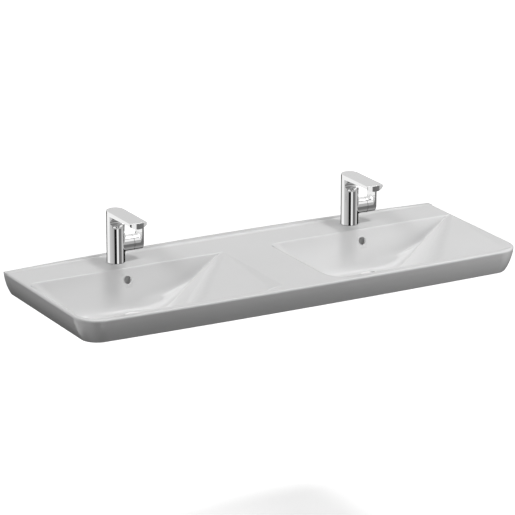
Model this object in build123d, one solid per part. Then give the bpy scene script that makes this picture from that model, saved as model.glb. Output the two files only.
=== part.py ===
"""Wall-hung double washbasin with two side-lever mixer taps and two push-to-open wastes.

Millimetres. X runs along the wall, Y points at the wall and Z is up. The origin lies on the wall
plane, half way along the basin, at the height of the rim.
"""
from build123d import *
import math
import os

# Basin, seen from above
BASIN_WIDTH = 1300
BASIN_DEPTH = 491.5
FRONT_BOW = 9.5
FRONT_CORNER_R = 68
RIM_EDGE_R = 5

# Basin, seen from the side
APRON_HEIGHT = 67
APRON_R = 139
APRON_DRAFT = 3.75
APRON_EDGE_R = 4
APRON_STEPS = 6
CERAMIC_WALL = 11
DECK_THICKNESS = 12
BACK_WALL = 14
LEDGE_RISE = 9.5
LEDGE_TOP = 9
LEDGE_COVE_R = 11
SHELL_LAP = 4

# One bowl, about its own middle
BOWL_OFFSET = 356
BOWL_WIDTH = 566
BOWL_BACK = 125
BOWL_FRONT = 468
BOWL_DEPTH = 106
BACK_SLOPE = 22
FRONT_SLOPE = 57
END_SLOPE = 44
FLOOR_TILT = 1
BACK_END_R = 28
FRONT_END_R = 90
FACET_FRONT_R = 90
FLOOR_R = 26
BOWL_LIP_R = 5
LIP_DEPTH = 30

# The slanting side of the bowl and the shallow tray beside it
RIDGE_BACK_X = 279.5
RIDGE_BACK_DROP = 0.5
RIDGE_FRONT_X = 3
RIDGE_FRONT_DROP = 14
RIDGE_BACK_R = 32
RIDGE_FRONT_R = 130
RIDGE_OVERRUN = 60
FACET_FOOT_X = 107
FACET_FOOT_DROP = 101
TRAY_END = 290
TRAY_SLOPE = 78
TRAY_CORNER_DROP = 6
TRAY_CORNER_R = 80

# Waste outlet and overflow
DRAIN_X = -20
DRAIN_Y = 220
DRAIN_HOLE_R = 23
DRAIN_BOSS_R = 36
DRAIN_BOSS_DROP = 129
OVERFLOW_X = 0
OVERFLOW_DROP = 30
OVERFLOW_R = 11
DUCT_WIDTH = 38
DUCT_DEPTH = 10
DUCT_WALL = 5
DUCT_TOP_DROP = 20
DUCT_BITE = 3

# Fixing to the wall
PANEL_WIDTH = 370
PANEL_DROP = 120
PANEL_CORNER_R = 30
WALL_BOLT_SPACING = 280
WALL_BOLT_DROP = 80
WALL_BOLT_HOLE_R = 8
RIB_THICKNESS = 12
RIB_PLACES = (-170, 100)
RIB_DROP = 95

# Tap hole and tap body
TAP_X = 2
TAP_Y = 64
TAP_HOLE_R = 17.5
TAP_BOSS_R = 38
TAP_BOSS_HEIGHT = 4
SEAL_THICKNESS = 0.8
COLUMN_R = 24.4
TAP_HEIGHT = 142
SHOULDER_HEIGHT = 107
SHOULDER_R = 12
NECK_FRONT = 17
NOTCH_R = 9
NOTCH_Y = 20.5
NOTCH_HEIGHT = 113
SPOUT_REACH = 139
SPOUT_TIP_BOW = 5
SPOUT_KEEL_BACK = 18
SPOUT_KEEL_TIP = 16
SPOUT_SIDE_BACK = 13
SPOUT_SIDE_TIP = 7
SPOUT_EDGE_R = 1
SPIGOT_DEPTH = 6
HOUSING_HEIGHT = 47
HOUSING_R = 21.5
HOUSING_END = 45.5
HOUSING_WALL = 3.5
HOUSING_BLEND_R = 4
BORE_END = 8

# Aerator
AERATOR_Y = 118
AERATOR_RECESS_R = 12
AERATOR_DEPTH = 9.5
AERATOR_WALL = 2.4
AERATOR_PROUD = 0.8
AERATOR_HOLE_R = 0.8
AERATOR_HOLE_PITCH = 3.6
AERATOR_COLUMNS = 5
AERATOR_ROWS = 3

# Cartridge, its nut and the turning turret
NUT_LENGTH = 6.5
NUT_BORE_R = 8.75
NUT_SLOTS = 6
NUT_SLOT_WIDTH = 3
NUT_SLOT_DEPTH = 2
NUT_SLOT_BOTTOM_R = 11.75
TURRET_THICKNESS = 5.7
TURRET_GAP = 0.9
SPINDLE_R = 3
SPINDLE_ENGAGEMENT = 12.3
BALL_R = 4.2
BALL_REACH = 8.25

# Lever handle
HANDLE_GAP = 1
HANDLE_LENGTH = 26
HANDLE_WALL = 3
LEVER_THICKNESS = 5
LEVER_HEIGHT = 48
LEVER_CORNER_R = 6
LEVER_BLEND_R = 6
TILT_DROP = 12
TILT_REACH = 3
TILT_PIN_R = 1.5
TILT_MAX = 22
WEDGE_SPARE = 4
LUG_WIDTH = 12
LUG_R = 3
HOUSING_NICK = 2.4
GRUB_REACH = 15
GRUB_R = 2.5
GRUB_LENGTH = 3.6
GRUB_SOCKET_R = 1.25
PLUG_R = 3
PLUG_THICKNESS = 1

# Fixings below the deck
STUD_Y = 9
STUD_R = 4
STUD_LENGTH = 70
STUD_ENGAGEMENT = 14
INLET_X = 8
INLET_Y = -6
INLET_R = 4.5
INLET_DEPTH = 12
WASHER_R = 22
WASHER_SLOT = 27
RUBBER_THICKNESS = 2.5
METAL_THICKNESS = 2
STUD_NUT_FLATS = 13
STUD_NUT_HEIGHT = 8

# Push-to-open waste
FLANGE_R = 31.5
FLANGE_RECESS_R = 33
FLANGE_RECESS = 2.5
FLANGE_THICKNESS = 3
TAIL_R = 20.9
TAIL_WALL = 2.2
TAIL_DROP = 149
TAIL_GROOVE = 0.6
TAIL_GROOVE_WIDTH = 1
TOP_SEAL_THICKNESS = 1.5
SLOT_WIDTH = 9
SLOT_COUNT = 4
SPIDER_THICKNESS = 4
SPIDER_DROP = 12
SPIDER_ARMS = 3
SPIDER_ARM_WIDTH = 3
HUB_R = 8
BARREL_R = 6
BARREL_NECK_R = 5
BARREL_LENGTH = 24
STEM_R = 3
CAP_R = 29
CAP_DOME = 3
CAP_EDGE = 4
CAP_SEAL_R = 2
LOWER_SEAL_R = 29
LOWER_SEAL_THICKNESS = 3
SLIP_THICKNESS = 1.5
BACKNUT_FLATS = 50
BACKNUT_HEIGHT = 6

# Clearances
GAP = 0.3
RUN = 0.05
SLACK = 0.5

# How far cutters run past a face, and how close counts as touching
OVERCUT = 1
TOUCH = 0.01


def tangent(angle):
    """Sideways travel for one unit of depth on a wall that leans by angle."""
    return math.tan(math.radians(angle))


def rod(radius, start, end):
    """Upright round bar between two heights."""
    return Pos(0, 0, (start + end) / 2) * Cylinder(radius, end - start)


def bar(radius, start, end):
    """Round bar along X, between two places."""
    return Pos((start + end) / 2, 0, 0) * Rot(0, 90, 0) * Cylinder(radius, end - start)


def ring(outer, inner, low, high):
    """Flat ring between two heights."""
    return rod(outer, low, high) - rod(inner, low - OVERCUT, high + OVERCUT)


def block(low, high):
    """Box between its lowest and highest corners."""
    size = [b - a for a, b in zip(low, high)]
    middle = [(a + b) / 2 for a, b in zip(low, high)]
    return Pos(*middle) * Box(*size)


def side_profile(points, width):
    """Plate cut to an outline given as (y, z) points, centred on X."""
    outline = Polyline(*[(0, y, z) for y, z in points], close=True)
    return extrude(make_face(outline), amount=width / 2, both=True, dir=(1, 0, 0))


# Outer body of the basin

def apron_curve(step):
    """Drop and inset of the apron's side at one step of its arc."""
    start = math.radians(APRON_DRAFT)
    end = math.asin(math.sin(start) + APRON_HEIGHT / APRON_R)
    angle = start + (end - start) * step / APRON_STEPS
    drop = APRON_R * (math.sin(angle) - math.sin(start))
    inset = APRON_R * (math.cos(start) - math.cos(angle))
    return drop, inset


def plan_face(inset, back, drop):
    """The basin's outline from above, drawn in by inset, with its back edge at -back."""
    half = BASIN_WIDTH / 2 - inset
    middle = -(BASIN_DEPTH - inset)
    corner = middle + FRONT_BOW
    left_side = Line((-half, -back), (-half, corner))
    front = ThreePointArc((-half, corner), (0, middle), (half, corner))
    right_side = Line((half, corner), (half, -back))
    rear = Line((half, -back), (-half, -back))
    face = make_face([left_side, front, right_side, rear])
    front_corners = face.vertices().sort_by(Axis.Y)[:2]
    return Pos(0, 0, -drop) * fillet(front_corners, FRONT_CORNER_R - inset)


def outer_body():
    """Solid block of the rim and apron."""
    sections = [plan_face(inset, 0, drop) for drop, inset in map(apron_curve, range(APRON_STEPS + 1))]
    body = loft(sections)
    rim = [edge for edge in body.edges() if edge.center().Z > -TOUCH and edge.center().Y < -TOUCH]
    body = fillet(rim, RIM_EDGE_R)
    low = TOUCH - APRON_HEIGHT
    foot = [edge for edge in body.edges() if edge.center().Z < low and edge.center().Y < -TOUCH]
    return fillet(foot, APRON_EDGE_R)


def underside_hollow():
    """Space inside the apron, open below."""
    sections = []
    for step in range(APRON_STEPS + 1):
        drop, inset = apron_curve(step)
        if drop > DECK_THICKNESS:
            sections.append(plan_face(inset + CERAMIC_WALL, BACK_WALL, drop))
    first = plan_face(CERAMIC_WALL + apron_curve(1)[1], BACK_WALL, DECK_THICKNESS)
    last_inset = apron_curve(APRON_STEPS)[1] + CERAMIC_WALL
    last = plan_face(last_inset, BACK_WALL, APRON_HEIGHT + CERAMIC_WALL)
    return loft([first] + sections + [last])


def back_ledge():
    """Ledge along the wall, highest in the middle, with a cove down to the deck."""
    foot = LEDGE_TOP + LEDGE_COVE_R
    top = LEDGE_RISE + OVERCUT
    cove_face = Plane.YZ * Pos(-foot, LEDGE_COVE_R) * Circle(LEDGE_COVE_R)
    bar_face = Plane.YZ * Pos(-foot / 2, (top - SHELL_LAP) / 2) * Rectangle(foot, top + SHELL_LAP)
    profile = bar_face - cove_face
    ledge = extrude(profile, amount=BASIN_WIDTH / 2, both=True)
    half = BASIN_WIDTH / 2
    arch_line = ThreePointArc((-half, 0, 0), (0, 0, LEDGE_RISE), (half, 0, 0))
    base_line = Polyline((half, 0, 0), (half, 0, -SHELL_LAP), (-half, 0, -SHELL_LAP), (-half, 0, 0))
    arch = extrude(make_face([arch_line, base_line]), amount=foot, dir=(0, -1, 0))
    return ledge & arch


# Bowl

RIDGE_BACK = Vector(RIDGE_BACK_X, -BOWL_BACK, -RIDGE_BACK_DROP)
RIDGE_FRONT = Vector(RIDGE_FRONT_X, -BOWL_FRONT, -RIDGE_FRONT_DROP)
FACET_FOOT = Vector(FACET_FOOT_X, -BOWL_BACK - FACET_FOOT_DROP * tangent(BACK_SLOPE), -FACET_FOOT_DROP)
TRAY_CORNER = Vector(TRAY_END, -BOWL_FRONT, -TRAY_CORNER_DROP)


def upward(normal):
    """The unit normal that points up."""
    return normal.normalized() * (1 if normal.Z > 0 else -1)


FACET_NORMAL = upward((RIDGE_FRONT - RIDGE_BACK).cross(FACET_FOOT - RIDGE_BACK))
TRAY_NORMAL = upward((RIDGE_FRONT - RIDGE_BACK).cross(TRAY_CORNER - RIDGE_BACK))


def bowl_walls(grow):
    """Point and outward normal of each wall of the bowl's space, moved out by grow."""
    walls = {
        "back": (Vector(0, -BOWL_BACK, 0), Vector(0, 1, -tangent(BACK_SLOPE))),
        "front": (Vector(0, -BOWL_FRONT, 0), Vector(0, -1, -tangent(FRONT_SLOPE))),
        "end": (Vector(-BOWL_WIDTH / 2, 0, 0), Vector(-1, 0, -tangent(END_SLOPE))),
        "tray_end": (Vector(TRAY_END, 0, 0), Vector(1, 0, -tangent(TRAY_SLOPE))),
        "facet": (RIDGE_BACK, FACET_NORMAL * -1),
        "floor": (Vector(DRAIN_X, -DRAIN_Y, -BOWL_DEPTH), Vector(-tangent(FLOOR_TILT), 0, -1)),
    }
    moved = {}
    for name, (point, normal) in walls.items():
        normal = normal.normalized()
        moved[name] = (point + normal * grow, normal)
    return moved


def trimmed(solid, walls, names):
    """What is left of a solid inside the named walls."""
    for name in names:
        point, normal = walls[name]
        solid = split(solid, Plane(origin=point, z_dir=normal), keep=Keep.BOTTOM)
    return solid


def lies_on(edge, wall):
    """Whether an edge lies in a wall's plane."""
    point, normal = wall
    return all(abs((edge.position_at(t) - point).dot(normal)) < TOUCH for t in (0, 0.5, 1))


def corner_edges(solid, first, second):
    """The edges where two walls meet."""
    return [edge for edge in solid.edges() if lies_on(edge, first) and lies_on(edge, second)]


def deep_space(grow, top):
    """The deep part of a bowl, with rounded corners and floor."""
    walls = bowl_walls(grow)
    solid = block((-BOWL_WIDTH, -2 * BASIN_DEPTH, -2 * BOWL_DEPTH), (BOWL_WIDTH, 0, top))
    solid = trimmed(solid, walls, ("back", "front", "end", "facet", "floor"))
    solid = fillet(corner_edges(solid, walls["end"], walls["back"]), BACK_END_R + grow)
    solid = fillet(corner_edges(solid, walls["end"], walls["front"]), FRONT_END_R + grow)
    solid = fillet(corner_edges(solid, walls["facet"], walls["front"]), FACET_FRONT_R + grow)
    floor_edges = [edge for edge in solid.edges() if lies_on(edge, walls["floor"])]
    return fillet(floor_edges, FLOOR_R + grow)


def ridge_section(grow, place, radius):
    """Everything above the facet, the rounded ridge and the tray, as a face across the ridge."""
    along = (RIDGE_FRONT - RIDGE_BACK).normalized()
    across = along.cross(TRAY_NORMAL)
    across = across.normalized() * (1 if across.X > 0 else -1)
    fold = math.acos(FACET_NORMAL.dot(TRAY_NORMAL))
    radius = max(radius - grow, OVERCUT)
    reach = radius * math.tan(fold / 2)
    apex = grow * math.tan(fold / 2)
    down = reach + SHELL_LAP
    middle_angle = math.pi / 2 + fold / 2
    start = (apex + reach, -grow)
    middle = (start[0] + radius * math.cos(middle_angle), -grow - radius + radius * math.sin(middle_angle))
    end = (apex - reach * math.cos(fold), -grow - reach * math.sin(fold))
    foot = (apex - down * math.cos(fold), -grow - down * math.sin(fold))
    arc = ThreePointArc(start, middle, end)
    edges = Polyline(end, foot, (foot[0], BOWL_WIDTH), (BOWL_WIDTH, BOWL_WIDTH), (BOWL_WIDTH, -grow), start)
    section = Plane(origin=RIDGE_BACK + along * place, x_dir=across, z_dir=across.cross(TRAY_NORMAL))
    return section * make_face([arc, edges])


def above_ridge(grow, top):
    """Everything above the tray and its ridge, which is rounded more and more towards the front."""
    length = (RIDGE_FRONT - RIDGE_BACK).length
    back = ridge_section(grow, -RIDGE_OVERRUN, RIDGE_BACK_R)
    front = ridge_section(grow, length + RIDGE_OVERRUN, RIDGE_FRONT_R)
    solid = loft([back, front], ruled=True)
    return solid & block((-BOWL_WIDTH, -2 * BASIN_DEPTH, -2 * BOWL_DEPTH), (BOWL_WIDTH, 0, top))


def between_tray_walls(grow, top):
    """The space between the walls round the tray, with no floor."""
    walls = bowl_walls(grow)
    solid = block((-BOWL_WIDTH, -2 * BASIN_DEPTH, -2 * BOWL_DEPTH), (BOWL_WIDTH, 0, top))
    solid = trimmed(solid, walls, ("back", "front", "tray_end"))
    return fillet(corner_edges(solid, walls["tray_end"], walls["front"]), TRAY_CORNER_R + grow)


def lip(space):
    """The room that a rounded rim adds round the mouth of a space, at deck height."""
    slab = block((-2 * BOWL_WIDTH, -2 * BASIN_DEPTH, -LIP_DEPTH), (2 * BOWL_WIDTH, BASIN_DEPTH, 0))
    plate = slab - space
    mouth = []
    for edge in plate.edges():
        middle, start = edge.position_at(0.5), edge.position_at(0)
        level = abs(middle.Z) < TOUCH and abs(start.Z) < TOUCH
        inside = abs(middle.X) < BOWL_WIDTH - TOUCH and -BASIN_DEPTH < middle.Y < -TOUCH
        if level and inside and not lies_on(edge, bowl_walls(0)["facet"]):
            mouth.append(edge)
    return slab - fillet(mouth, BOWL_LIP_R)


def bowl_space():
    """Everything that the bowl leaves open."""
    top = 2 * LEDGE_RISE
    deep = deep_space(0, top)
    tray_walls = between_tray_walls(0, top)
    tray = above_ridge(0, top) & (tray_walls + lip(tray_walls))
    return deep + lip(deep) + tray


def bowl_shell():
    """The bowl's outer shape below the deck."""
    top = -(DECK_THICKNESS - SHELL_LAP)
    tray = above_ridge(CERAMIC_WALL, top) & between_tray_walls(CERAMIC_WALL, top)
    return deep_space(CERAMIC_WALL, top) + tray


def shell_limit():
    """The space inside the rim that a bowl's outer shape keeps to."""
    inset = apron_curve(1)[1]
    return extrude(plan_face(inset, 0, 0), amount=2 * BOWL_DEPTH, dir=(0, 0, -1))


# Outlet, overflow and fixing of each bowl

def back_of_bowl(drop, out):
    """Y of the bowl's outer back wall at a depth, and out further towards the wall."""
    return -BOWL_BACK + CERAMIC_WALL / math.cos(math.radians(BACK_SLOPE)) - drop * tangent(BACK_SLOPE) + out


def overflow_duct(width, top, inner, outer, low, high):
    """Channel down the back of the bowl and forward to the outlet."""
    points = [
        (back_of_bowl(top, inner), -top),
        (back_of_bowl(top, outer), -top),
        (back_of_bowl(low, outer), -low),
        (-DRAIN_Y, -low),
        (-DRAIN_Y, -high),
        (back_of_bowl(high, inner), -high),
    ]
    return Pos(OVERFLOW_X, 0, 0) * side_profile(points, width)


def duct_outside():
    """Outer walls of the overflow channel."""
    outer = DUCT_DEPTH - DUCT_BITE + DUCT_WALL
    top = DUCT_TOP_DROP - DUCT_WALL
    return overflow_duct(DUCT_WIDTH + 2 * DUCT_WALL, top, -DUCT_BITE, outer, DRAIN_BOSS_DROP,
                         BOWL_DEPTH + CERAMIC_WALL - DUCT_BITE)


def duct_passage():
    """The water's way inside the overflow channel."""
    outer = DUCT_DEPTH - DUCT_BITE
    return overflow_duct(DUCT_WIDTH, DUCT_TOP_DROP, -DUCT_BITE, outer, DRAIN_BOSS_DROP - DUCT_WALL,
                         BOWL_DEPTH + CERAMIC_WALL)


def overflow_hole():
    """Round hole through the bowl's back wall into the overflow channel."""
    lean = math.radians(BACK_SLOPE)
    centre = Vector(OVERFLOW_X, -BOWL_BACK - OVERFLOW_DROP * tangent(BACK_SLOPE), -OVERFLOW_DROP)
    outward = Vector(0, math.cos(lean), -math.sin(lean))
    start = Plane(origin=centre - outward * CERAMIC_WALL, z_dir=outward)
    depth = CERAMIC_WALL + CERAMIC_WALL
    return start * Pos(0, 0, depth / 2) * Cylinder(OVERFLOW_R, depth)


def rib():
    """Web that ties the bowl's back to the fixing panel."""
    points = [
        (-BACK_WALL / 2, -DECK_THICKNESS / 2),
        (-BACK_WALL / 2, -RIB_DROP),
        (back_of_bowl(RIB_DROP, -CERAMIC_WALL / 2), -RIB_DROP),
        (back_of_bowl(DECK_THICKNESS, -CERAMIC_WALL / 2), -DECK_THICKNESS / 2),
    ]
    return side_profile(points, RIB_THICKNESS)


def fixing_panel():
    """Deeper stretch of the back wall that the wall bolts pass through."""
    height = PANEL_DROP - DECK_THICKNESS / 2
    face = RectangleRounded(PANEL_WIDTH, height, PANEL_CORNER_R)
    place = Pos(0, 0, -DECK_THICKNESS / 2 - height / 2)
    return place * extrude(Plane.XZ * face, amount=BACK_WALL)


def wall_bolt_holes():
    """The two holes for the wall bolts behind one bowl."""
    holes = []
    for side in (-1, 1):
        place = Pos(side * WALL_BOLT_SPACING / 2, -BACK_WALL, -WALL_BOLT_DROP)
        holes.append(place * Rot(90, 0, 0) * Cylinder(WALL_BOLT_HOLE_R, 4 * BACK_WALL))
    return holes


def make_basin():
    """The one-piece ceramic basin."""
    places = [Pos(side * BOWL_OFFSET, 0, 0) for side in (-1, 1)]
    body = outer_body() - underside_hollow()
    body = body + back_ledge()
    limit = shell_limit()
    for place in places:
        body = body + (place * bowl_shell() & limit)
    added = [duct_outside(), fixing_panel()]
    added.append(Pos(DRAIN_X, -DRAIN_Y, 0) * rod(DRAIN_BOSS_R, -DRAIN_BOSS_DROP, -BOWL_DEPTH))
    added.append(Pos(TAP_X, -TAP_Y, 0) * rod(TAP_BOSS_R, -DECK_THICKNESS - TAP_BOSS_HEIGHT, -SHELL_LAP))
    added += [Pos(x, 0, 0) * rib() for x in RIB_PLACES]
    cut = [bowl_space(), duct_passage(), overflow_hole()]
    cut.append(Pos(DRAIN_X, -DRAIN_Y, 0) * rod(DRAIN_HOLE_R, -2 * DRAIN_BOSS_DROP, 0))
    recess_floor = -BOWL_DEPTH - FLANGE_RECESS
    cut.append(Pos(DRAIN_X, -DRAIN_Y, 0) * rod(FLANGE_RECESS_R, recess_floor, 0))
    cut.append(Pos(TAP_X, -TAP_Y, 0) * rod(TAP_HOLE_R, -2 * DECK_THICKNESS, LEDGE_RISE))
    cut += wall_bolt_holes()
    for place in places:
        for piece in added:
            body = body + place * piece
    for place in places:
        for piece in cut:
            body = body - place * piece
    return body


# Mixer tap, about the tap hole at deck height

HANDLE_START = HOUSING_END + HANDLE_GAP
HANDLE_END = HANDLE_START + HANDLE_LENGTH
BORE_R = HOUSING_R - HOUSING_WALL
TURRET_END = HOUSING_END - GAP
TURRET_START = TURRET_END - TURRET_THICKNESS
NUT_END = TURRET_START - TURRET_GAP
NUT_START = NUT_END - NUT_LENGTH
CARTRIDGE_START = BORE_END + GAP
CARTRIDGE_END = NUT_START - GAP
SPINDLE_TAIL = CARTRIDGE_END - SPINDLE_ENGAGEMENT
BALL_X = HOUSING_END + BALL_REACH
TILT_X = HOUSING_END + TILT_REACH
TILT_HEIGHT = HOUSING_HEIGHT - TILT_DROP
GRUB_X = HOUSING_END + GRUB_REACH
HOLLOW_R = HOUSING_R - HANDLE_WALL
CARRIER_R = HOLLOW_R - GAP
CARRIER_START = HANDLE_START + 2 * GAP
CARRIER_END = HANDLE_END - LEVER_THICKNESS - GAP


def spout():
    """Flat-topped spout with a keel below, round at the back and bowed at the tip."""
    side = -(SPOUT_REACH - SPOUT_TIP_BOW)
    back = ThreePointArc((COLUMN_R, 0), (0, COLUMN_R), (-COLUMN_R, 0))
    left = Line((-COLUMN_R, 0), (-COLUMN_R, side))
    tip = ThreePointArc((-COLUMN_R, side), (0, -SPOUT_REACH), (COLUMN_R, side))
    right = Line((COLUMN_R, side), (COLUMN_R, 0))
    plan = extrude(Pos(0, 0, SHOULDER_HEIGHT) * make_face([back, left, tip, right]),
                   amount=TAP_HEIGHT - SHOULDER_HEIGHT)
    run = SPOUT_REACH + COLUMN_R
    sections = []
    for share in (0, 1):
        keel = SPOUT_KEEL_BACK + (SPOUT_KEEL_TIP - SPOUT_KEEL_BACK) * share
        edge = SPOUT_SIDE_BACK + (SPOUT_SIDE_TIP - SPOUT_SIDE_BACK) * share
        low, mid, high = TAP_HEIGHT - edge, TAP_HEIGHT - keel, TAP_HEIGHT + OVERCUT
        y = COLUMN_R - (run + OVERCUT) * share
        wide = COLUMN_R + OVERCUT
        hull = ThreePointArc((wide, y, low), (0, y, mid), (-wide, y, low))
        lid = Polyline((-wide, y, low), (-wide, y, high), (wide, y, high), (wide, y, low))
        sections.append(make_face([hull, lid]))
    return plan & loft(sections, ruled=True)


def tap_body(base):
    """Column, spout and side housing in one casting, standing on its seal."""
    column = rod(COLUMN_R, base, SHOULDER_HEIGHT)
    top_edge = column.edges().filter_by(GeomType.CIRCLE).sort_by(Axis.Z)[-1:]
    column = fillet(top_edge, SHOULDER_R)
    neck = rod(COLUMN_R, SHOULDER_HEIGHT - 2 * SHOULDER_R, TAP_HEIGHT)
    neck = neck & block((-COLUMN_R, -NECK_FRONT, 0), (COLUMN_R, COLUMN_R, TAP_HEIGHT))
    body = column + neck + spout()
    body = body - Pos(0, -NOTCH_Y, NOTCH_HEIGHT) * bar(NOTCH_R, -2 * COLUMN_R, 2 * COLUMN_R)
    top_rim = [edge for edge in body.edges() if edge.center().Z > TAP_HEIGHT - TOUCH]
    body = fillet(top_rim, SPOUT_EDGE_R)
    body = body + Pos(0, 0, HOUSING_HEIGHT) * bar(HOUSING_R, 0, HOUSING_END)
    seam = [edge for edge in body.edges() if is_housing_seam(edge)]
    body = fillet(seam, HOUSING_BLEND_R)
    body = body - Pos(0, 0, HOUSING_HEIGHT) * bar(BORE_R, BORE_END, HOUSING_END + OVERCUT)
    nick = Pos(HOUSING_END, 0, HOUSING_HEIGHT - HOUSING_R) * Rot(0, 45, 0)
    body = body - nick * Box(HOUSING_NICK * 2, HOUSING_R, HOUSING_NICK * 2)
    body = body + rod(TAP_HOLE_R - SLACK, -SPIGOT_DEPTH, base + OVERCUT)
    stud_top = STUD_ENGAGEMENT - SPIGOT_DEPTH + GAP
    body = body - Pos(0, STUD_Y, 0) * rod(STUD_R + RUN, -SPIGOT_DEPTH - OVERCUT, stud_top)
    for side in (-1, 1):
        place = Pos(side * INLET_X, INLET_Y, 0)
        body = body - place * rod(INLET_R, -SPIGOT_DEPTH - OVERCUT, INLET_DEPTH - SPIGOT_DEPTH)
    seat = aerator_low() + AERATOR_DEPTH
    return body - Pos(0, -AERATOR_Y, 0) * rod(AERATOR_RECESS_R, SHOULDER_HEIGHT, seat + GAP)


def is_housing_seam(edge):
    """Whether an edge is where the side housing leaves the column."""
    middle = edge.center()
    beside = 0 < middle.X < COLUMN_R + TOUCH
    level = abs(middle.Z - HOUSING_HEIGHT) < HOUSING_R + TOUCH
    return beside and level and edge.length > HOUSING_R


def aerator_low():
    """Height of the aerator's lower face."""
    share = (COLUMN_R + AERATOR_Y) / (COLUMN_R + SPOUT_REACH)
    keel = SPOUT_KEEL_BACK + (SPOUT_KEEL_TIP - SPOUT_KEEL_BACK) * share
    return TAP_HEIGHT - keel - AERATOR_PROUD


def aerator_housing():
    """Ring that screws into the spout."""
    low = aerator_low()
    outer = AERATOR_RECESS_R - GAP
    return Pos(0, -AERATOR_Y, 0) * ring(outer, outer - AERATOR_WALL, low, low + AERATOR_DEPTH)


def aerator_insert():
    """Perforated jet plate inside the ring."""
    low = aerator_low() + AERATOR_PROUD
    radius = AERATOR_RECESS_R - AERATOR_WALL - 2 * GAP
    plate = rod(radius, low, low + AERATOR_DEPTH - AERATOR_PROUD)
    for place in HexLocations(AERATOR_HOLE_PITCH / 2, AERATOR_COLUMNS, AERATOR_ROWS):
        plate = plate - place * rod(AERATOR_HOLE_R, low - OVERCUT, low + AERATOR_DEPTH)
    return Pos(0, -AERATOR_Y, 0) * plate


def cartridge():
    """Closed valve body with a bore for its spindle."""
    body = bar(BORE_R - GAP, CARTRIDGE_START, CARTRIDGE_END)
    body = body - bar(SPINDLE_R + GAP, SPINDLE_TAIL - GAP, CARTRIDGE_END + OVERCUT)
    return Pos(0, 0, HOUSING_HEIGHT) * body


def cartridge_nut():
    """Threaded ring that holds the cartridge in the housing."""
    nut = bar(BORE_R - GAP, NUT_START, NUT_END) - bar(NUT_BORE_R, NUT_START - OVERCUT, NUT_END + OVERCUT)
    half = NUT_SLOT_WIDTH / 2
    slot = block((NUT_END - NUT_SLOT_DEPTH, -half, NUT_SLOT_BOTTOM_R), (NUT_END + OVERCUT, half, HOUSING_R))
    for turn in range(NUT_SLOTS):
        nut = nut - Rot(360 / NUT_SLOTS * turn, 0, 0) * slot
    return Pos(0, 0, HOUSING_HEIGHT) * nut


def turret():
    """Disc that turns for temperature and carries the tilt pin's lug."""
    disc = bar(BORE_R - SLACK, TURRET_START, TURRET_END)
    stem = bar(NUT_BORE_R - RUN, NUT_START + GAP, TURRET_START)
    half = LUG_WIDTH / 2
    lug = block((TURRET_START, -half, -TILT_DROP - LUG_R), (TILT_X, half, -TILT_DROP + LUG_R))
    nose = Pos(TILT_X, 0, -TILT_DROP) * Rot(90, 0, 0) * Cylinder(LUG_R, LUG_WIDTH)
    body = disc + stem + ((lug + nose) & bar(BORE_R - SLACK, TURRET_START, HANDLE_END))
    body = body - bar(SPINDLE_R + RUN, 0, HANDLE_END)
    pin_hole = Pos(TILT_X, 0, -TILT_DROP) * Rot(90, 0, 0) * Cylinder(TILT_PIN_R + RUN, 2 * LUG_WIDTH)
    return Pos(0, 0, HOUSING_HEIGHT) * (body - pin_hole)


def spindle():
    """Push-pull valve spindle with a ball end."""
    stem = bar(SPINDLE_R, SPINDLE_TAIL, BALL_X)
    return Pos(0, 0, HOUSING_HEIGHT) * (stem + Pos(BALL_X, 0, 0) * Sphere(BALL_R))


def lever_carrier():
    """Block inside the handle that hangs on the tilt pin and holds the spindle's ball."""
    body = bar(CARRIER_R, CARRIER_START, CARRIER_END)
    half = LUG_WIDTH / 2 + SLACK
    lug_room = TILT_X + LUG_R + GAP
    body = body - block((0, -half, -HOUSING_R), (lug_room, half, -TILT_DROP + LUG_R + 2 * GAP))
    ball_half = BALL_R + GAP
    low = -ball_half - SLACK
    body = body - block((BALL_X - ball_half, -ball_half, low), (BALL_X + ball_half, ball_half, HOUSING_R))
    neck_half = SPINDLE_R + 2 * GAP
    body = body - block((0, -neck_half, -neck_half - SLACK), (BALL_X, neck_half, HOUSING_R))
    pin_hole = Pos(TILT_X, 0, -TILT_DROP) * Rot(90, 0, 0) * Cylinder(TILT_PIN_R + RUN, 2 * HOUSING_R)
    body = body - pin_hole
    body = body - Pos(GRUB_X, 0, 0) * rod(GRUB_R + GAP, -HOUSING_R, -grub_top() + GAP)
    return Pos(0, 0, HOUSING_HEIGHT) * body


def grub_top():
    """Distance of the grub screw's point below the housing's axis."""
    return HOUSING_R - PLUG_THICKNESS - GAP - GRUB_LENGTH


def tilt_pin():
    """Pin that the handle tilts on."""
    reach = math.sqrt(CARRIER_R ** 2 - (TILT_DROP + TILT_PIN_R) ** 2)
    return Pos(TILT_X, 0, TILT_HEIGHT) * Rot(90, 0, 0) * Cylinder(TILT_PIN_R, 2 * reach - GAP)


def lever_blend(lever_start):
    """Concave sweep from the handle's top up into the lever."""
    start = lever_start - LEVER_BLEND_R
    outer = HOUSING_R + LEVER_BLEND_R
    bend = LEVER_BLEND_R * math.sqrt(0.5)
    arc = ThreePointArc((start, 0, HOUSING_R), (start + bend, 0, outer - bend), (lever_start, 0, outer))
    rest = Polyline((lever_start, 0, outer), (lever_start, 0, 0), (start, 0, 0), (start, 0, HOUSING_R))
    flare = revolve(make_face([arc, rest]), Axis.X)
    return flare & block((start, -HOUSING_R, 0), (lever_start, HOUSING_R, LEVER_HEIGHT))


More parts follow.
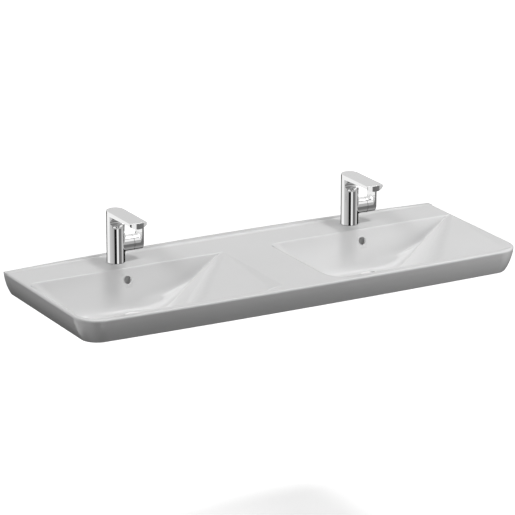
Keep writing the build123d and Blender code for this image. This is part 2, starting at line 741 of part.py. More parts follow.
def handle():
    """Hollow end cap of the housing with a flat lever rising from its outer face."""
    body = bar(HOUSING_R, HANDLE_START, HANDLE_END)
    lever_start = HANDLE_END - LEVER_THICKNESS
    lever = block((lever_start, -HOUSING_R, 0), (HANDLE_END, HOUSING_R, LEVER_HEIGHT))
    corners = lever.edges().filter_by(Axis.X).group_by(Axis.Z)[-1]
    body = body + fillet(corners, LEVER_CORNER_R) + lever_blend(lever_start)
    body = body - bar(HOLLOW_R, HANDLE_START - OVERCUT, lever_start)
    wedge_angle = TILT_MAX + WEDGE_SPARE
    wedge = Pos(HANDLE_START, 0, -TILT_DROP) * Rot(0, -wedge_angle, 0) * Pos(-HOUSING_R, 0, -HOUSING_R)
    body = body - wedge * Box(2 * HOUSING_R, 3 * HOUSING_R, 2 * HOUSING_R)
    low = -HOUSING_R - OVERCUT
    body = body - Pos(GRUB_X, 0, 0) * rod(GRUB_R + GAP / 2, low, -HOLLOW_R + OVERCUT)
    body = body - Pos(GRUB_X, 0, 0) * rod(PLUG_R + GAP / 2, low, -HOUSING_R + PLUG_THICKNESS + GAP)
    return Pos(0, 0, HOUSING_HEIGHT) * body


def handle_screw():
    """Grub screw that locks the handle on its carrier."""
    top = -grub_top()
    screw = rod(GRUB_R, top - GRUB_LENGTH, top)
    socket = rod(GRUB_SOCKET_R, top - 2 * GRUB_LENGTH, top - GRUB_LENGTH / 2)
    return Pos(GRUB_X, 0, HOUSING_HEIGHT) * (screw - socket)


def screw_plug():
    """Small cap over the grub screw's hole."""
    return Pos(GRUB_X, 0, HOUSING_HEIGHT) * rod(PLUG_R, -HOUSING_R + GAP / 2, -HOUSING_R + PLUG_THICKNESS)


def base_seal():
    """Flat ring under the tap's foot."""
    return ring(COLUMN_R - SLACK, TAP_HOLE_R, 0, SEAL_THICKNESS)


def mounting_stud():
    """Threaded stud that pulls the tap down."""
    top = STUD_ENGAGEMENT - SPIGOT_DEPTH
    return Pos(0, STUD_Y, 0) * rod(STUD_R, top - STUD_LENGTH, top)


def horseshoe(thickness, top):
    """Open washer that leaves room for the hoses."""
    disc = rod(WASHER_R, top - thickness, top)
    low = top - thickness - OVERCUT
    half = WASHER_SLOT / 2
    disc = disc - block((-half, -2 * WASHER_R, low), (half, 0, top + OVERCUT))
    return disc - Pos(0, STUD_Y, 0) * rod(STUD_R + GAP, low, top + OVERCUT)


def stud_nut(top):
    """Hexagon nut on the stud."""
    hexagon = extrude(RegularPolygon(STUD_NUT_FLATS / 2, 6, major_radius=False), amount=STUD_NUT_HEIGHT)
    nut = Pos(0, STUD_Y, top - STUD_NUT_HEIGHT) * hexagon
    return nut - Pos(0, STUD_Y, 0) * rod(STUD_R + RUN, top - 2 * STUD_NUT_HEIGHT, top + OVERCUT)


def make_tap():
    """Every piece of one tap, by name."""
    under = -DECK_THICKNESS - TAP_BOSS_HEIGHT
    metal_top = under - RUBBER_THICKNESS
    return {
        "tap_body": tap_body(SEAL_THICKNESS),
        "aerator_housing": aerator_housing(),
        "aerator_insert": aerator_insert(),
        "cartridge": cartridge(),
        "cartridge_nut": cartridge_nut(),
        "turret": turret(),
        "valve_spindle": spindle(),
        "lever_carrier": lever_carrier(),
        "tilt_pin": tilt_pin(),
        "handle": handle(),
        "handle_screw": handle_screw(),
        "screw_plug": screw_plug(),
        "tap_base_seal": base_seal(),
        "mounting_stud": mounting_stud(),
        "rubber_horseshoe": horseshoe(RUBBER_THICKNESS, under),
        "metal_horseshoe": horseshoe(METAL_THICKNESS, metal_top),
        "stud_nut": stud_nut(metal_top - METAL_THICKNESS),
    }


# Waste, about the outlet's axis

SEAT = -BOWL_DEPTH - FLANGE_RECESS
FLANGE_LOW = SEAT + TOP_SEAL_THICKNESS
FLANGE_TOP = FLANGE_LOW + FLANGE_THICKNESS
TUBE_R = TAIL_R - TAIL_WALL
HUB_TOP = FLANGE_TOP - SPIDER_DROP
CAP_LOW = FLANGE_TOP + GAP
LOWER_TOP = -DRAIN_BOSS_DROP
SLIP_TOP = LOWER_TOP - LOWER_SEAL_THICKNESS
BACKNUT_TOP = SLIP_TOP - SLIP_THICKNESS


def waste_body():
    """Flanged outlet tube with overflow slots and a spider for the push mechanism."""
    body = rod(FLANGE_R, FLANGE_LOW, FLANGE_TOP) + rod(TAIL_R, -TAIL_DROP, FLANGE_TOP)
    rim = [edge for edge in body.edges() if edge.center().Z > FLANGE_TOP - TOUCH]
    body = fillet(rim, FLANGE_THICKNESS / 2)
    body = body - rod(TUBE_R, -TAIL_DROP - OVERCUT, FLANGE_TOP + OVERCUT)
    slot_low = -DRAIN_BOSS_DROP + DUCT_WALL
    slot_high = -BOWL_DEPTH - CERAMIC_WALL
    half = SLOT_WIDTH / 2
    slot = block((HUB_R, -half, slot_low), (TAIL_R + OVERCUT, half, slot_high))
    for turn in range(SLOT_COUNT):
        body = body - Rot(0, 0, 360 / SLOT_COUNT * (turn + 0.5)) * slot
    body = body + rod(HUB_R, HUB_TOP - SPIDER_THICKNESS, HUB_TOP)
    groove_top = BACKNUT_TOP - BACKNUT_HEIGHT
    body = body - ring(TAIL_R + OVERCUT, TAIL_R - TAIL_GROOVE, groove_top - TAIL_GROOVE_WIDTH, groove_top)
    half = SPIDER_ARM_WIDTH / 2
    arm = block((0, -half, HUB_TOP - SPIDER_THICKNESS), (TUBE_R + TAIL_WALL / 2, half, HUB_TOP))
    for turn in range(SPIDER_ARMS):
        body = body + Rot(0, 0, 360 / SPIDER_ARMS * turn) * arm
    return body - rod(BARREL_NECK_R, HUB_TOP - 2 * SPIDER_THICKNESS, HUB_TOP + OVERCUT)


def push_barrel():
    """Closed latch barrel that screws into the spider's hub."""
    shoulder = HUB_TOP - SPIDER_THICKNESS - GAP
    neck = rod(BARREL_NECK_R - GAP, shoulder, HUB_TOP)
    barrel = rod(BARREL_R, shoulder - BARREL_LENGTH, shoulder)
    return neck + barrel - rod(STEM_R + RUN, HUB_TOP - BARREL_LENGTH - GAP, HUB_TOP + OVERCUT)


def plug():
    """Domed plug with the stem that slides in the latch barrel."""
    crown = CAP_LOW + CAP_EDGE + CAP_DOME
    sphere_r = (CAP_R ** 2 + CAP_DOME ** 2) / (2 * CAP_DOME)
    cap = rod(CAP_R, CAP_LOW, crown) & Pos(0, 0, crown - sphere_r) * Sphere(sphere_r)
    stem = rod(STEM_R, HUB_TOP - BARREL_LENGTH, CAP_LOW + OVERCUT)
    boss = rod(TUBE_R - 2 * CAP_SEAL_R - SLACK, CAP_LOW - 2 * CAP_SEAL_R, CAP_LOW + OVERCUT)
    return cap + stem + boss


def plug_seal():
    """Rubber ring round the plug's boss."""
    outer = TUBE_R - SLACK
    inner = outer - 2 * CAP_SEAL_R + GAP
    return ring(outer, inner, CAP_LOW - 2 * CAP_SEAL_R, CAP_LOW - GAP)


def backnut():
    """Large hexagon nut under the basin."""
    hexagon = extrude(RegularPolygon(BACKNUT_FLATS / 2, 6, major_radius=False), amount=BACKNUT_HEIGHT)
    nut = Pos(0, 0, BACKNUT_TOP - BACKNUT_HEIGHT) * hexagon
    return nut - rod(TAIL_R + RUN, BACKNUT_TOP - 2 * BACKNUT_HEIGHT, BACKNUT_TOP + OVERCUT)


def make_waste():
    """Every piece of one waste, by name."""
    bore = TAIL_R + GAP
    return {
        "waste_body": waste_body(),
        "waste_top_seal": ring(FLANGE_R, bore, SEAT, FLANGE_LOW),
        "push_barrel": push_barrel(),
        "plug": plug(),
        "plug_seal": plug_seal(),
        "waste_lower_seal": ring(LOWER_SEAL_R, bore, SLIP_TOP, LOWER_TOP),
        "waste_slip_washer": ring(LOWER_SEAL_R, bore, BACKNUT_TOP, SLIP_TOP),
        "waste_backnut": backnut(),
    }


os.makedirs("parts", exist_ok=True)

export_step(make_basin(), "parts/basin.step")
tap_pieces = make_tap()
waste_pieces = make_waste()
for name, side in (("left", -1), ("right", 1)):
    tap_place = Pos(side * BOWL_OFFSET + TAP_X, -TAP_Y, 0)
    waste_place = Pos(side * BOWL_OFFSET + DRAIN_X, -DRAIN_Y, 0)
    for piece, shape in tap_pieces.items():
        export_step(tap_place * shape, f"parts/{name}_{piece}.step")
    for piece, shape in waste_pieces.items():
        export_step(waste_place * shape, f"parts/{name}_{piece}.step")
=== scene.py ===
import bmesh
import bpy
import math
import numpy as np
from mathutils import Matrix, Vector
from mathutils.bvhtree import BVHTree


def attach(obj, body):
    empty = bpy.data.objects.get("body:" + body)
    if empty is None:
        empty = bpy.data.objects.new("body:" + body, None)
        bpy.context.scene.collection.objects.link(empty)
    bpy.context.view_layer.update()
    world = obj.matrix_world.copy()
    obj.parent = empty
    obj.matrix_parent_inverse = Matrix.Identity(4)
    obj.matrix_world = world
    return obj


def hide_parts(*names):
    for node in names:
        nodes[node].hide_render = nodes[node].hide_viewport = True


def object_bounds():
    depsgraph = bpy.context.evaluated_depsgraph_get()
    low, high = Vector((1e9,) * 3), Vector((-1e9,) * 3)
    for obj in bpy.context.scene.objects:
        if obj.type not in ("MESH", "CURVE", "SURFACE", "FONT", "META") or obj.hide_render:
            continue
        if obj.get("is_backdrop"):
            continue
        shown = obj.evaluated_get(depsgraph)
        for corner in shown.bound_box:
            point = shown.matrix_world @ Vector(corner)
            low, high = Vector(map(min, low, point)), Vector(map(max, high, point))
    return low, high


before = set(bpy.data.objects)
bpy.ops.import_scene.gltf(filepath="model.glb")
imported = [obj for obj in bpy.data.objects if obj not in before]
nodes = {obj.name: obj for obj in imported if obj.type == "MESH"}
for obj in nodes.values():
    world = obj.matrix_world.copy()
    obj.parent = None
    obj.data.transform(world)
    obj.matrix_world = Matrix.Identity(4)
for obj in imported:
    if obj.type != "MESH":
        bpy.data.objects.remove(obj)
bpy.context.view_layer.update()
SIDES = ("left", "right")


# Camera. It stands far back and to the left of the basin and looks down a little through a long lens,
# so the long rims stay nearly parallel.
LENS_AZIMUTH = math.radians(-28.85)
LENS_HEIGHT = math.radians(17.61)
camera_data = bpy.data.cameras.new("camera")
camera_data.sensor_width = 36.0
camera_data.lens = 236.6
camera_data.clip_end = 60.0
camera = bpy.data.objects.new("camera", camera_data)
bpy.context.scene.collection.objects.link(camera)
back = Vector((
    math.sin(LENS_AZIMUTH) * math.cos(LENS_HEIGHT),
    -math.cos(LENS_AZIMUTH) * math.cos(LENS_HEIGHT),
    math.sin(LENS_HEIGHT),
))
across = Vector((math.cos(LENS_AZIMUTH), math.sin(LENS_AZIMUTH), 0.0))
facing = Matrix((across, back.cross(across), back)).transposed().to_4x4()
camera.matrix_world = Matrix.Translation((-4.12526, -7.68217, 2.70659)) @ facing
bpy.context.scene.camera = camera
bpy.context.scene.view_settings.view_transform = "Standard"


# Studio light. A wide pale ceiling lights everything evenly from above and almost nothing comes from
# below. Polished metal sees a bright room with dark gaps in it, as between a photographer's screens.
CEILING = 0.22
UNDER = 0.13
WINDOW = 5.0


def put(tree, kind, inputs=None, **settings):
    """Adds one node, sets its options, and sets or connects its inputs."""
    made = tree.nodes.new(kind)
    for option, value in settings.items():
        setattr(made, option, value)
    for socket, value in (inputs or {}).items():
        if isinstance(value, bpy.types.NodeSocket):
            tree.links.new(value, made.inputs[socket])
        else:
            made.inputs[socket].default_value = value
    return made


def tone_ramp(tree, factor, stops, full=1.0):
    """Turns a factor from 0 to 1 into a grey, through the given (place, tone) stops; full is its white."""
    ramp = put(tree, "ShaderNodeValToRGB", {0: factor})
    while len(ramp.color_ramp.elements) < len(stops):
        ramp.color_ramp.elements.new(1.0)
    for element, (place, tone) in zip(ramp.color_ramp.elements, stops):
        element.position = place
        element.color = (tone / full, tone / full, tone / full, 1.0)
    return ramp.outputs["Color"]


world = bpy.data.worlds.new("studio")
bpy.context.scene.world = world
world.use_nodes = True
sky = world.node_tree
sky.nodes.clear()
look_way = put(sky, "ShaderNodeTexCoord").outputs["Generated"]
ways = put(sky, "ShaderNodeSeparateXYZ", {0: look_way})
height = ways.outputs["Z"]
lit_half = put(sky, "ShaderNodeMapRange", {0: height, 1: -0.06, 2: 0.10, 3: UNDER, 4: CEILING})
front_way = put(sky, "ShaderNodeMath", {0: ways.outputs["Y"], 1: -1.0}, operation="MULTIPLY")
turn = put(sky, "ShaderNodeMath", {0: ways.outputs["X"], 1: front_way.outputs[0]}, operation="ARCTAN2")
round_room = put(sky, "ShaderNodeMapRange", {0: turn.outputs[0], 1: -math.pi, 2: math.pi, 3: 0.0, 4: 1.0})
low_screens = tone_ramp(sky, round_room.outputs[0], (
    (0.000, 0.04), (0.058, 0.05), (0.070, 1.00), (0.200, 1.00), (0.212, 0.66), (0.378, 0.42),
    (0.386, 0.01), (0.462, 0.01), (0.472, 0.95), (0.526, 0.95), (0.540, 0.15), (0.640, 0.20),
    (0.652, 0.62), (0.712, 0.62), (0.730, 0.05), (0.820, 0.08), (0.850, 0.55), (0.940, 0.70), (0.955, 0.05), (1.000, 0.04),
), WINDOW)
depth_back = put(sky, "ShaderNodeMapRange", {0: ways.outputs["Y"], 1: -1.0, 2: 1.0})
under_room = tone_ramp(sky, depth_back.outputs[0], (
    (0.0, 0.20), (0.45, 0.36), (0.55, 0.30), (0.59, 0.02), (1.0, 0.02)), WINDOW)
front_wall = tone_ramp(sky, height, (
    (0.00, 0.45), (0.36, 0.52), (0.385, 0.22), (0.42, 0.22), (0.44, 1.00), (0.80, 1.00), (0.83, 0.25), (0.86, 0.25),
    (0.88, 1.00), (1.00, 1.00)), WINDOW)
back_wall = tone_ramp(sky, height, ((0.00, 0.95), (0.20, 0.95), (0.29, 0.70), (0.60, 0.95), (1.00, 0.95)), WINDOW)
to_back = put(sky, "ShaderNodeMapRange", {0: ways.outputs["Y"], 1: -0.15, 2: 0.15, 3: 0.0, 4: 1.0})
high_room = put(sky, "ShaderNodeMix", {0: to_back.outputs[0], 6: front_wall, 7: back_wall}, data_type="RGBA")
deep = put(sky, "ShaderNodeMapRange", {0: height, 1: -0.76, 2: -0.66, 3: 1.0, 4: 0.0})
low_room = put(sky, "ShaderNodeMix", {0: deep.outputs[0], 6: low_screens, 7: under_room}, data_type="RGBA")
above = put(sky, "ShaderNodeMapRange", {0: height, 1: -0.16, 2: -0.10, 3: 0.0, 4: 1.0})
room = put(sky, "ShaderNodeMix", {0: above.outputs[0], 6: low_room.outputs[2], 7: high_room.outputs[2]}, data_type="RGBA")
overhead = put(sky, "ShaderNodeMath", {0: height, 1: 0.5}, operation="GREATER_THAN")
strip = put(sky, "ShaderNodeMapRange", {0: height, 1: 0.865, 2: 0.885, 3: 0.0, 4: 0.42})
edge_side = put(sky, "ShaderNodeMath", {0: ways.outputs["X"], 1: 0.46}, operation="SUBTRACT")
edge_side = put(sky, "ShaderNodeMath", {0: edge_side.outputs[0]}, operation="ABSOLUTE")
edge_side = put(sky, "ShaderNodeMapRange", {0: edge_side.outputs[0], 1: 0.06, 2: 0.08, 3: 1.0, 4: 0.0})
edge_front = put(sky, "ShaderNodeMath", {0: ways.outputs["Y"]}, operation="ABSOLUTE")
edge_front = put(sky, "ShaderNodeMapRange", {0: edge_front.outputs[0], 1: 0.09, 2: 0.11, 3: 1.0, 4: 0.0})
edge_light = put(sky, "ShaderNodeMath", {0: edge_side.outputs[0], 1: edge_front.outputs[0]}, operation="MULTIPLY")
edge_light = put(sky, "ShaderNodeMath", {0: edge_light.outputs[0], 1: overhead.outputs[0]}, operation="MULTIPLY")
strip = put(sky, "ShaderNodeMath", {0: strip.outputs[0], 1: edge_light.outputs[0]}, operation="MAXIMUM")
gap_start = put(sky, "ShaderNodeMapRange", {0: ways.outputs["X"], 1: 0.50, 2: 0.53, 3: 1.0, 4: 0.06})
gap_top = put(sky, "ShaderNodeMapRange", {0: height, 1: 0.22, 2: 0.26})
gap_front = put(sky, "ShaderNodeMath", {0: 1.0, 1: to_back.outputs[0]}, operation="SUBTRACT")
gap = put(sky, "ShaderNodeMath", {0: gap_start.outputs[0], 1: gap_top.outputs[0]}, operation="MAXIMUM")
gap = put(sky, "ShaderNodeMath", {0: gap.outputs[0], 1: gap_front.outputs[0]}, operation="MAXIMUM")
room = put(sky, "ShaderNodeMix", {0: 1.0, 6: room.outputs[2], 7: gap.outputs[0]}, data_type="RGBA", blend_type="MULTIPLY")
mirrored = put(sky, "ShaderNodeMix", {0: strip.outputs[0], 6: room.outputs[2], 7: (1, 1, 1, 1)}, data_type="RGBA")
ray = put(sky, "ShaderNodeLightPath").outputs
lighting = put(sky, "ShaderNodeBackground", {0: (1, 1, 1, 1), 1: lit_half.outputs[0]})
reflecting = put(sky, "ShaderNodeBackground", {0: mirrored.outputs[2], 1: WINDOW})
backdrop = put(sky, "ShaderNodeBackground", {0: (1, 1, 1, 1), 1: 1.0})
sharp_ray = put(sky, "ShaderNodeMath", {0: ray["Is Glossy Ray"], 1: ray["Is Transmission Ray"]}, operation="MAXIMUM")
unscattered = put(sky, "ShaderNodeMath", {0: ray["Diffuse Depth"], 1: 0.5}, operation="LESS_THAN")
direct = put(sky, "ShaderNodeMath", {0: sharp_ray.outputs[0], 1: unscattered.outputs[0]}, operation="MULTIPLY")
shown = put(sky, "ShaderNodeMixShader", {0: direct.outputs[0], 1: lighting.outputs[0], 2: reflecting.outputs[0]})
shown = put(sky, "ShaderNodeMixShader", {0: ray["Is Camera Ray"], 1: shown.outputs[0], 2: backdrop.outputs[0]})
put(sky, "ShaderNodeOutputWorld", {0: shown.outputs[0]})

for name, energy, spread, way in (
        ("key_lamp", 0.86, 10, (0.26, -0.22, 0.93)),
        ("left_lamp", 0.55, 12, (-0.66, -0.25, 0.71)),
        ("right_lamp", 0.18, 20, (0.82, -0.40, 0.40)),
        ("low_lamp", 0.14, 30, (-0.88, -0.42, 0.22))):
    lamp_data = bpy.data.lights.new(name, "SUN")
    lamp_data.energy = energy
    lamp_data.angle = math.radians(spread)
    lamp = bpy.data.objects.new(name, lamp_data)
    bpy.context.scene.collection.objects.link(lamp)
    lamp.matrix_world = Vector(way).to_track_quat("Z", "Y").to_matrix().to_4x4()
    lamp.visible_glossy = False
lamp_data = bpy.data.lights.new("end_lamp", "AREA")
lamp_data.energy = 12.5
lamp_data.size = 0.8
lamp = bpy.data.objects.new("end_lamp", lamp_data)
bpy.context.scene.collection.objects.link(lamp)
stand = Vector((1.9, -1.4, 0.55))
lamp.matrix_world = Matrix.Translation(stand) @ (stand - Vector((0.5, -0.4, 0.0))).to_track_quat("Z", "Y").to_matrix().to_4x4()
lamp.visible_glossy = False


# Floor. The basin hangs with its rim 850 mm above a plain pale floor, which is left out of the
# reflections and shows white to the camera, with whatever shadow reaches it.
RIM_HEIGHT = 0.85
FLOOR_HALF = 30.0
floor_mesh = bpy.data.meshes.new("floor")
floor_mesh.from_pydata(
    [(x * FLOOR_HALF, y * FLOOR_HALF, -RIM_HEIGHT) for x, y in ((-1, -1), (1, -1), (1, 1), (-1, 1))], [], [(0, 1, 2, 3)])
floor = bpy.data.objects.new("floor", floor_mesh)
bpy.context.scene.collection.objects.link(floor)
floor.visible_glossy = False
paint = bpy.data.materials.new("white_floor")
paint.use_nodes = True
tree = paint.node_tree
tree.nodes.clear()
grain = put(tree, "ShaderNodeTexNoise", {"Vector": put(tree, "ShaderNodeTexCoord").outputs["Object"], "Scale": 6.0})
pale = tone_ramp(tree, grain.outputs["Fac"], ((0.3, 0.95), (0.7, 1.0)))
lit = put(tree, "ShaderNodeBsdfDiffuse", {"Color": pale})
glow = put(tree, "ShaderNodeEmission", {"Color": (1, 1, 1, 1), "Strength": 0.55})
white = put(tree, "ShaderNodeAddShader", {0: lit.outputs[0], 1: glow.outputs[0]})
dull = put(tree, "ShaderNodeBsdfDiffuse", {"Color": (0.10, 0.10, 0.10, 1)})
seen = put(tree, "ShaderNodeLightPath").outputs["Is Camera Ray"]
upper = put(tree, "ShaderNodeMixShader", {0: seen, 1: dull.outputs[0], 2: white.outputs[0]})
clear = put(tree, "ShaderNodeBsdfTransparent")
under = put(tree, "ShaderNodeNewGeometry").outputs["Backfacing"]
sheet = put(tree, "ShaderNodeMixShader", {0: under, 1: upper.outputs[0], 2: clear.outputs[0]})
put(tree, "ShaderNodeOutputMaterial", {0: sheet.outputs[0]})
floor_mesh.materials.append(paint)
floor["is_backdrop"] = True


# Basin. One casting of fireclay with two bowls, glazed white all over but for the ground face that
# meets the wall, which stays bare, matt and slightly warmer.
GLAZE_WHITE = 0.86
BARE_CLAY = (0.70, 0.67, 0.61, 1.0)


def new_group(name, inputs, outputs):
    """A shader node group with named inputs (name, kind, value) and outputs (name, kind)."""
    group = bpy.data.node_groups.new(name, "ShaderNodeTree")
    for socket, kind, value in inputs:
        group.interface.new_socket(socket, in_out="INPUT", socket_type=kind).default_value = value
    for socket, kind in outputs:
        group.interface.new_socket(socket, in_out="OUTPUT", socket_type=kind)
    return group, group.nodes.new("NodeGroupInput").outputs, group.nodes.new("NodeGroupOutput").inputs


def new_material(name):
    """A material with an empty Principled shader."""
    material = bpy.data.materials.new(name)
    material.use_nodes = True
    return material, material.node_tree, material.node_tree.nodes["Principled BSDF"]


def use_group(tree, group, **values):
    """Places a node group in a material, with its own values."""
    placed = put(tree, "ShaderNodeGroup", node_tree=group)
    for socket, value in values.items():
        placed.inputs[socket].default_value = value
    return placed.outputs


def finish_with(material, *names):
    """Gives the finish to the named CAD nodes."""
    for name in names:
        nodes[name].data.materials.clear()
        nodes[name].data.materials.append(material)


fired, given, result = new_group("fired_glaze", (
    ("Ripple", "NodeSocketFloat", 0.3), ("White", "NodeSocketFloat", 0.8), ("Pooled", "NodeSocketFloat", 0.0)),
    (("Colour", "NodeSocketColor"), ("Roughness", "NodeSocketFloat"), ("Bare", "NodeSocketFloat"), ("Normal", "NodeSocketVector")))
spot = put(fired, "ShaderNodeTexCoord").outputs["Object"]
place_axes = put(fired, "ShaderNodeSeparateXYZ", {0: spot}).outputs
face_axes = put(fired, "ShaderNodeSeparateXYZ", {0: put(fired, "ShaderNodeNewGeometry").outputs["Normal"]}).outputs
at_wall = put(fired, "ShaderNodeMapRange", {0: place_axes["Y"], 1: -0.0015, 2: -0.0004})
to_wall = put(fired, "ShaderNodeMapRange", {0: face_axes["Y"], 1: 0.8, 2: 0.95})
bare = put(fired, "ShaderNodeMath", {0: at_wall.outputs[0], 1: to_wall.outputs[0]}, operation="MULTIPLY")
cloud = put(fired, "ShaderNodeTexNoise", {"Vector": spot, "Scale": 5.0, "Detail": 3.0})
shade = put(fired, "ShaderNodeMapRange", {0: cloud.outputs["Fac"], 1: 0.3, 2: 0.7, 3: 0.985, 4: 1.01})
white = put(fired, "ShaderNodeMath", {0: shade.outputs[0], 1: given["White"]}, operation="MULTIPLY")
# Painted light: below the deck the colour is made whiter by the painted floor light amount, standing in for the
# brighter bowl floors.
deep = put(fired, "ShaderNodeMapRange", {0: place_axes["Z"], 1: -0.012, 2: -0.095})
painted_brightening = put(fired, "ShaderNodeMath", {0: deep.outputs[0], 1: given["Pooled"]}, operation="MULTIPLY")
painted_brightening = put(fired, "ShaderNodeMath", {0: painted_brightening.outputs[0], 1: 1.0}, operation="ADD")
white = put(fired, "ShaderNodeMath", {0: white.outputs[0], 1: painted_brightening.outputs[0]}, operation="MULTIPLY")
speck = put(fired, "ShaderNodeTexVoronoi", {"Vector": spot, "Scale": 28.0, "Randomness": 1.0})
pinhole = put(fired, "ShaderNodeMapRange", {0: speck.outputs["Distance"], 1: 0.006, 2: 0.012, 3: 0.82, 4: 1.0})
white = put(fired, "ShaderNodeMath", {0: white.outputs[0], 1: pinhole.outputs[0]}, operation="MULTIPLY")
grey = put(fired, "ShaderNodeCombineColor", {0: white.outputs[0], 1: white.outputs[0], 2: white.outputs[0]})
clay_grain = put(fired, "ShaderNodeTexNoise", {"Vector": spot, "Scale": 700.0, "Detail": 4.0})
clay = put(fired, "ShaderNodeMix", {
    0: clay_grain.outputs["Fac"], 6: BARE_CLAY, 7: (0.58, 0.55, 0.49, 1.0)}, data_type="RGBA")
body = put(fired, "ShaderNodeMix", {0: bare.outputs[0], 6: grey.outputs[0], 7: clay.outputs[2]}, data_type="RGBA")
smooth = put(fired, "ShaderNodeMapRange", {0: cloud.outputs["Fac"], 1: 0.3, 2: 0.7, 3: 0.30, 4: 0.36})
rough = put(fired, "ShaderNodeMix", {0: bare.outputs[0], 2: smooth.outputs[0], 3: 0.9}, data_type="FLOAT")
ripple = put(fired, "ShaderNodeTexNoise", {"Vector": spot, "Scale": 45.0, "Detail": 2.0})
peel = put(fired, "ShaderNodeBump", {
    "Height": ripple.outputs["Fac"], "Strength": given["Ripple"], "Distance": 0.0002})
clay_bump = put(fired, "ShaderNodeMath", {0: clay_grain.outputs["Fac"], 1: bare.outputs[0]}, operation="MULTIPLY")
peel = put(fired, "ShaderNodeBump", {
    "Height": clay_bump.outputs[0], "Strength": 0.5, "Distance": 0.0003, "Normal": peel.outputs[0]})
for socket, value in (
        ("Colour", body.outputs[2]), ("Roughness", rough.outputs[0]), ("Bare", bare.outputs[0]), ("Normal", peel.outputs[0])):
    fired.links.new(value, result[socket])



def glazed_material(name, pooled):
    """Fired glaze; pooled is how much whiter the colour is painted towards the bottom of a bowl, painted light for the
    brighter bowl floors.
    """
    material, tree, shader = new_material(name)
    fire = use_group(tree, fired, Ripple=0.25, White=GLAZE_WHITE, Pooled=pooled)
    tree.links.new(fire["Colour"], shader.inputs["Base Color"])
    tree.links.new(fire["Roughness"], shader.inputs["Roughness"])
    tree.links.new(fire["Normal"], shader.inputs["Normal"])
    cover = put(tree, "ShaderNodeMapRange", {0: fire["Bare"], 3: 0.8, 4: 0.0})
    tree.links.new(cover.outputs[0], shader.inputs["Coat Weight"])
    shader.inputs["Coat Roughness"].default_value = 0.10
    return material


glaze = glazed_material("glazed_ceramic", 0.0)
finish_with(glaze, "basin")
nodes["basin"].visible_glossy = False


# Bowl linings. The glazed inner face of each bowl, a thin skin over most of it, which also fills the foot
# of the crease, up to 11 mm from the solid's sharper corner, so the crease melts away towards the floor.
BOWL_PLACES = {"left": -0.356, "right": 0.356}
GRID = 0.0025
SKIN = 0.00012
LIP_DEPTH = 0.0045
SPREADS = (0.0, 0.002, 0.004, 0.007, 0.011, 0.016)
HOLES = ((0.0, -0.1371, 0.0135, 0.0076), (-0.020, -0.220, 0.038, 0.038))


def soften(values, known, spread):
    """Averages a height map over a round patch of the given spread, leaving out unknown cells."""
    reach = max(1, int(3 * spread / GRID))
    weights = np.exp(-0.5 * (np.arange(-reach, reach + 1) * GRID / spread) ** 2)
    both = []
    for layer in (np.where(known, values, 0.0), known.astype(float)):
        for axis in (0, 1):
            layer = np.apply_along_axis(lambda line: np.convolve(line, weights, mode="same"), axis, layer)
        both.append(layer)
    return both[0] / np.maximum(both[1], 1e-9)


def smooth_step(value, low, high):
    """0 below low, 1 above high, and an even S between them."""
    t = np.clip((value - low) / (high - low), 0.0, 1.0)
    return t * t * (3 - 2 * t)


# The linings' glaze is painted whiter lower in each bowl: painted light standing in for the brighter bowl floors.
painted_light_glaze = glazed_material("painted_light_glaze", 0.13)
clay = nodes["basin"].data
clay_tree = BVHTree.FromPolygons([v.co for v in clay.vertices], [p.vertices for p in clay.polygons])
for side, middle in BOWL_PLACES.items():
    xs = np.arange(middle - 0.310, middle + 0.310, GRID)
    ys = np.arange(-0.480, -0.105, GRID)
    depth = np.full((len(ys), len(xs)), np.nan)
    for j, y in enumerate(ys):
        for i, x in enumerate(xs):
            hit = clay_tree.ray_cast(Vector((x, y, 0.02)), Vector((0, 0, -1)), 0.14)[0]
            if hit is not None:
                depth[j, i] = hit.z
    known = ~np.isnan(depth)
    local_x, local_y = np.meshgrid(xs - middle, ys)
    for hole_x, hole_y, half_wide, half_long in HOLES:
        known &= ((local_x - hole_x) / half_wide) ** 2 + ((local_y - hole_y) / half_long) ** 2 > 1.0
    layers = [np.nan_to_num(depth)] + [soften(np.nan_to_num(depth), known, spread) for spread in SPREADS[1:]]
    near_foot = smooth_step(-depth, 0.050, 0.098) * smooth_step(local_x, 0.0, 0.08)
    spread = np.nan_to_num(0.0014 + 0.0145 * near_foot) * smooth_step(np.nan_to_num(-depth), 0.003, 0.010)
    level = np.interp(spread, SPREADS, np.arange(len(SPREADS)))
    low_layer = np.minimum(level.astype(int), len(SPREADS) - 2)
    stack = np.array(layers)
    lower = np.take_along_axis(stack, low_layer[None], 0)[0]
    upper = np.take_along_axis(stack, low_layer[None] + 1, 0)[0]
    pooled = lower + (upper - lower) * (level - low_layer)
    pooled = np.maximum(pooled, np.nan_to_num(depth)) + SKIN
    covered = known & (np.nan_to_num(depth) < -LIP_DEPTH) & (np.nan_to_num(depth) > -0.112)
    wall = covered[:-1, :-1] & covered[1:, :-1] & covered[:-1, 1:] & covered[1:, 1:]
    used = np.zeros_like(covered)
    for dj, di in ((0, 0), (1, 0), (0, 1), (1, 1)):
        used[dj:used.shape[0] - 1 + dj, di:used.shape[1] - 1 + di] |= wall
    index = np.full(covered.shape, -1)
    index[used] = np.arange(used.sum())
    points = np.stack([local_x[used] + middle, local_y[used], pooled[used]], 1)
    faces = [(index[j, i], index[j, i + 1], index[j + 1, i + 1], index[j + 1, i]) for j, i in zip(*np.nonzero(wall))]
    lining_mesh = bpy.data.meshes.new(f"{side}_bowl_lining")
    lining_mesh.from_pydata(points.tolist(), [], [tuple(map(int, face)) for face in faces])
    lining_mesh.shade_smooth()
    lining_mesh.materials.append(painted_light_glaze)
    lining = bpy.data.objects.new(f"{side}_bowl_lining", lining_mesh)
    bpy.context.scene.collection.objects.link(lining)
    lining.visible_glossy = False
    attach(lining, "basin_and_fixings")


